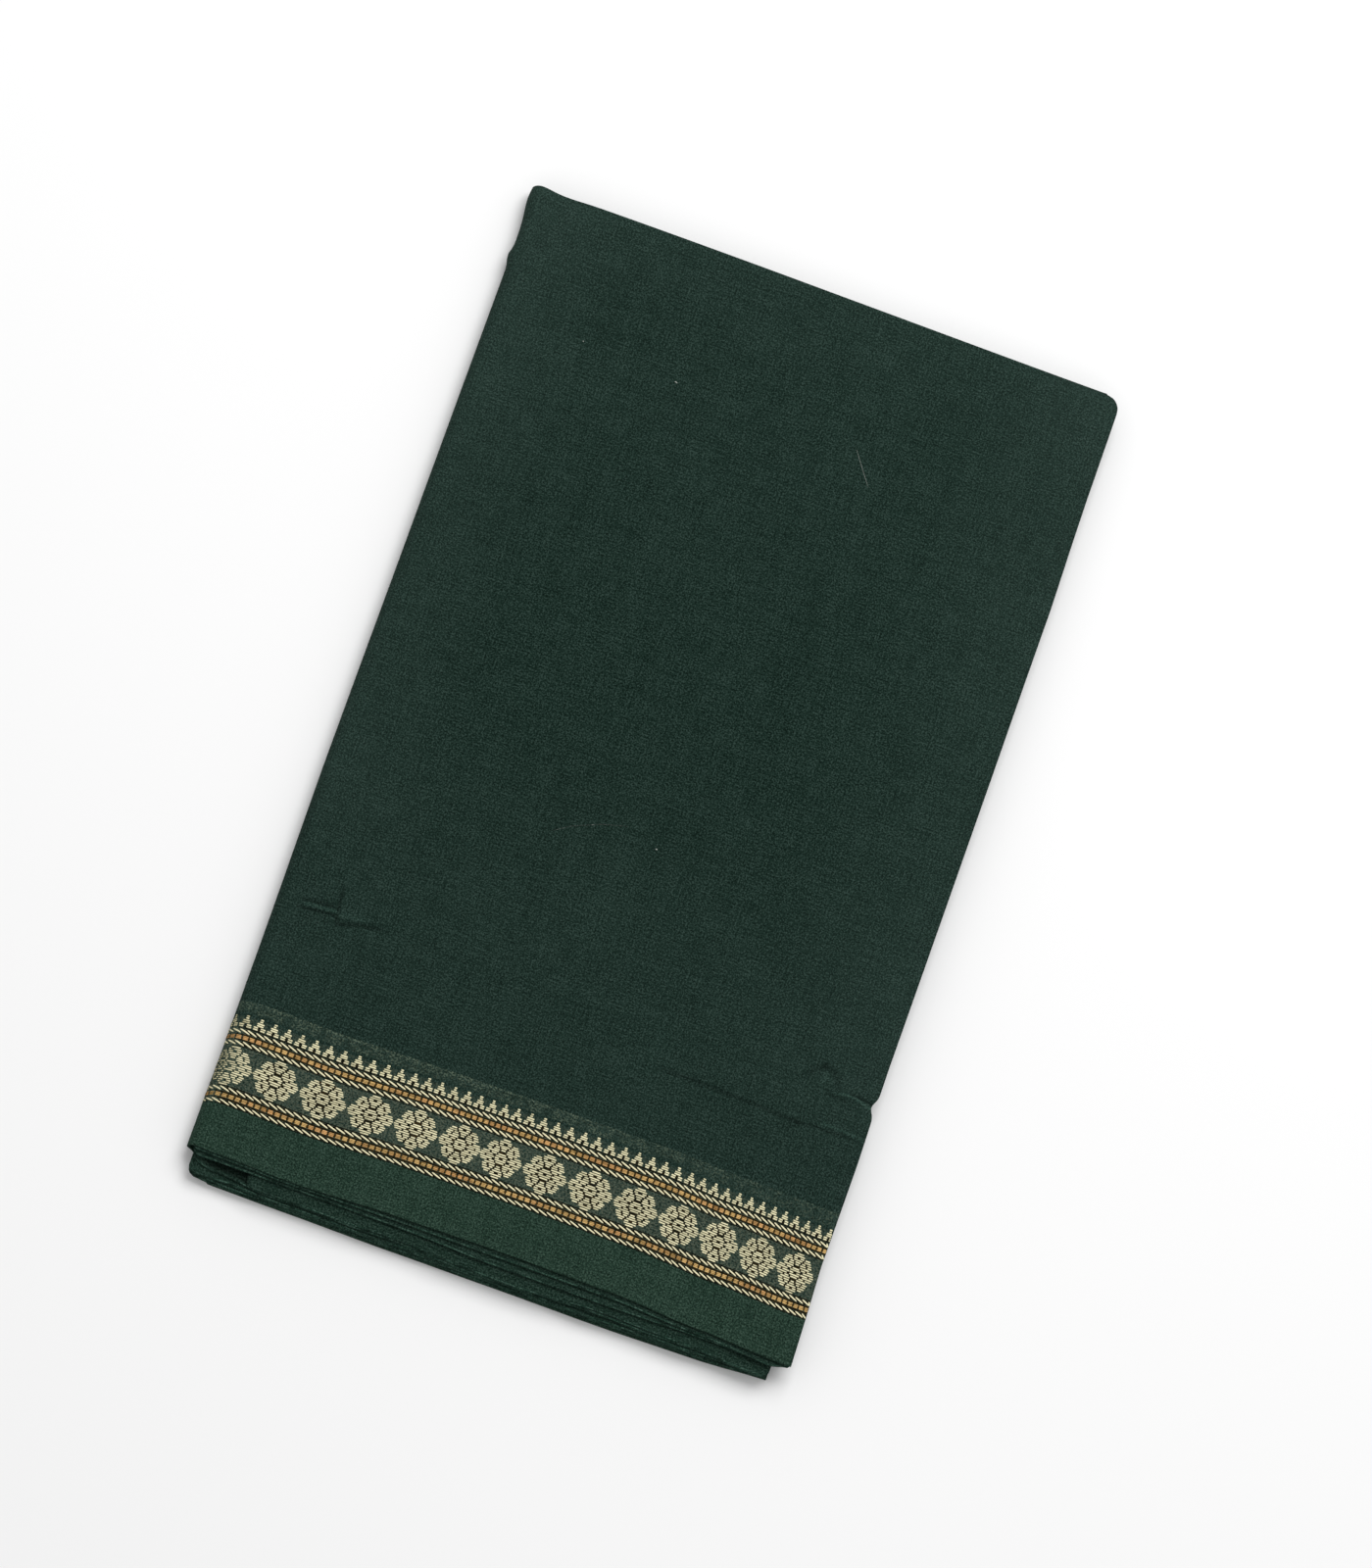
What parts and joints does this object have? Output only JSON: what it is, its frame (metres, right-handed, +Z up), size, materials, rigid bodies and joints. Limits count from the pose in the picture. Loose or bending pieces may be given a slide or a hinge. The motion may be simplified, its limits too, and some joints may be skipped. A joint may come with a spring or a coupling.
{
  "type": "folded saree",
  "caption": "Folded dark green cotton saree lying flat, with a woven border of cream rosettes, twisted cords and ochre beads.",
  "frame": {"origin": "on the surface it lies on, under the middle of the pack's bounding box", "axes": "+X across the folded panels with the last fold at -X, +Y from the border end to the crosswise fold, +Z up"},
  "size_m": [0.346, 0.5774, 0.0168],
  "materials": {
    "green_cotton": "plain-woven handloom cotton, dull",
    "cream_thread": "soft cream extra thread with a slight sheen",
    "ochre_thread": "ochre and orange extra thread",
    "dark_thread": "near-black brown extra thread"
  },
  "bodies": {
    "root": {"top_panel": "green_cotton", "second_panel": "green_cotton", "third_panel": "green_cotton", "inner_folds": "green_cotton", "back_panel": "green_cotton"}
  },
  "joints": []
}
